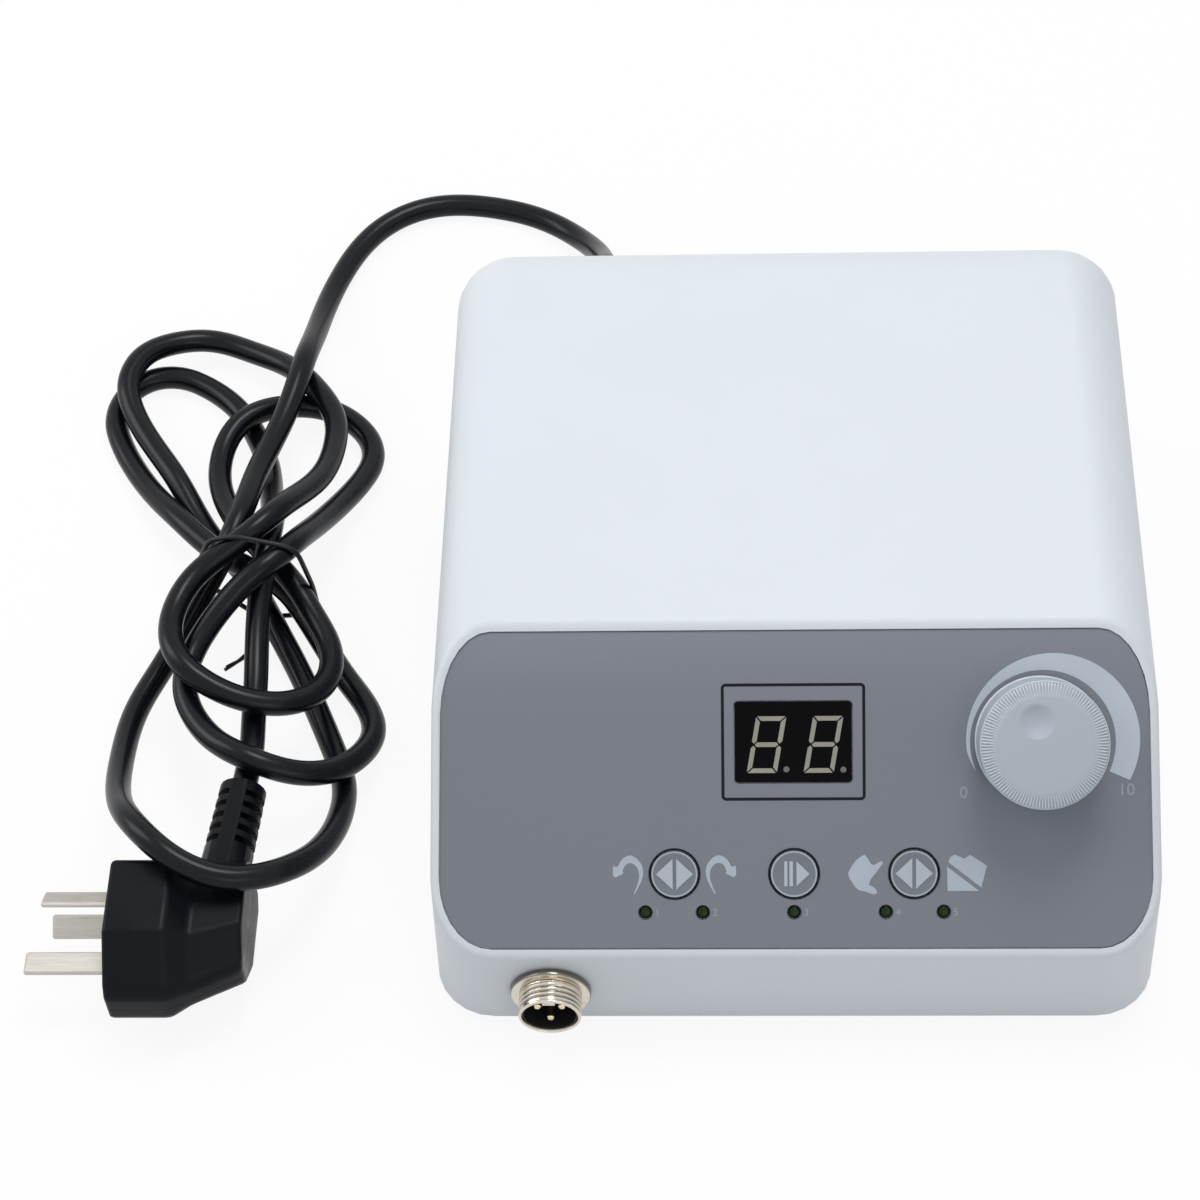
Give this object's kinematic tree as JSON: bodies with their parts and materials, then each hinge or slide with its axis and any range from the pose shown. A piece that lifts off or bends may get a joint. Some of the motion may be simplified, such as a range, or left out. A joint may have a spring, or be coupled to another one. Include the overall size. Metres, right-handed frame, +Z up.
{
  "type": "dental lab micromotor control unit",
  "caption": "Bench control unit for a dental lab micromotor: slanted panel with display, keys and speed knob, motor socket, and a tied mains cord with plug.",
  "frame": {"origin": "centre of the unit's own bounding box in plan, at the underside of its rubber feet; the free cord and its plug are left out of the box", "axes": "+Z up, the slanted panel and the motor socket face -Y, +X to the user's right"},
  "size_m": [0.2938, 0.2984, 0.0858],
  "materials": {
    "housing": "satin moulded ABS, pale bluish white",
    "plate": "textured grey ABS",
    "overlay": "satin printed polyester film on a grey backing",
    "window": "smoked acrylic",
    "module": "black moulded component bodies",
    "key": "grey printed key caps",
    "lamp": "green diffused epoxy",
    "knob": "satin white ABS",
    "steel": "zinc plated steel",
    "aluminium": "plain turned and extruded aluminium",
    "brass": "plain turned brass",
    "board": "green solder mask on glass fibre laminate",
    "nickel": "nickel plated, warm satin",
    "insulator": "black glass filled nylon",
    "contact": "plated contact pins",
    "rocker": "polished black rocker",
    "core": "varnished laminations",
    "winding": "amber polyester winding tape",
    "capacitor": "blue sleeved can",
    "foot": "soft black rubber",
    "gland": "moulded black PVC bend relief",
    "cord": "black PVC sheath, satin",
    "tie": "black plastic coated wire",
    "plug": "moulded black PVC plug",
    "blade": "nickel plated brass pins"
  },
  "bodies": {
    "unit": {"upper_housing": "housing", "base_plate": "plate", "front_overlay": "overlay", "display_window": "window", "digit_module_1": "module", "digit_module_2": "module", "lamp_1": "lamp", "lamp_2": "lamp", "lamp_3": "lamp", "lamp_4": "lamp", "lamp_5": "lamp", "potentiometer": "steel", "potentiometer_nut": "brass", "control_board": "board", "key_switch_1": "module", "key_switch_2": "module", "key_switch_3": "module", "motor_socket": "nickel", "socket_insert": "insulator", "contact_pin_1": "contact", "contact_pin_2": "contact", "contact_pin_3": "contact", "socket_nut": "nickel", "power_switch_body": "insulator", "fuse_holder": "insulator", "foot_control_jack": "insulator", "jack_nut": "nickel", "transformer_core": "core", "transformer_winding": "winding", "power_board": "board", "smoothing_capacitor": "capacitor", "relay": "module", "heat_sink": "aluminium", "front_left_foot": "foot", "front_right_foot": "foot", "rear_left_foot": "foot", "rear_right_foot": "foot", "front_left_screw": "steel", "front_right_screw": "steel", "rear_left_screw": "steel", "rear_right_screw": "steel", "cord_gland": "gland", "cord_lead": "cord", "cord_hank": "cord", "cord_tail": "cord", "cord_tie": "tie", "plug_body": "plug", "plug_line_pin": "blade", "plug_neutral_pin": "blade", "plug_earth_pin": "blade"},
    "knob": {"speed_knob": "knob", "potentiometer_shaft": "aluminium"},
    "direction_button": {"direction_key": "key"},
    "start_stop_button": {"start_stop_key": "key"},
    "control_mode_button": {"control_mode_key": "key"},
    "rocker": {"power_rocker": "rocker"},
    "fuse_bayonet": {"fuse_cap": "insulator"}
  },
  "joints": [
    {"name": "speed_knob_turn", "type": "hinge", "parent": "unit", "child": "knob", "pos_m": [0.06065, -0.05714, 0.06527], "axis": [0, -0.6334, 0.7738], "range_deg": [-140, 115]},
    {"name": "direction_key_press", "type": "slide", "parent": "unit", "child": "direction_button", "axis": [0, 0.6334, -0.7738], "range_m": [0, 0.0004], "stiffness_N_per_m": 1500, "springref_m": -0.0003},
    {"name": "start_stop_key_press", "type": "slide", "parent": "unit", "child": "start_stop_button", "axis": [0, 0.6334, -0.7738], "range_m": [0, 0.0004], "stiffness_N_per_m": 1500, "springref_m": -0.0003},
    {"name": "control_mode_key_press", "type": "slide", "parent": "unit", "child": "control_mode_button", "axis": [0, 0.6334, -0.7738], "range_m": [0, 0.0004], "stiffness_N_per_m": 1500, "springref_m": -0.0003},
    {"name": "power_rocker_tip", "type": "hinge", "parent": "unit", "child": "rocker", "pos_m": [0.056, 0.09962, 0.03001], "axis": [-1, 0, 0], "range_deg": [0, 10]},
    {"name": "fuse_cap_turn", "type": "hinge", "parent": "unit", "child": "fuse_bayonet", "pos_m": [0.028, 0.09932, 0.03], "axis": [0, 0.9995, 0.0305], "range_deg": [0, 60]}
  ]
}
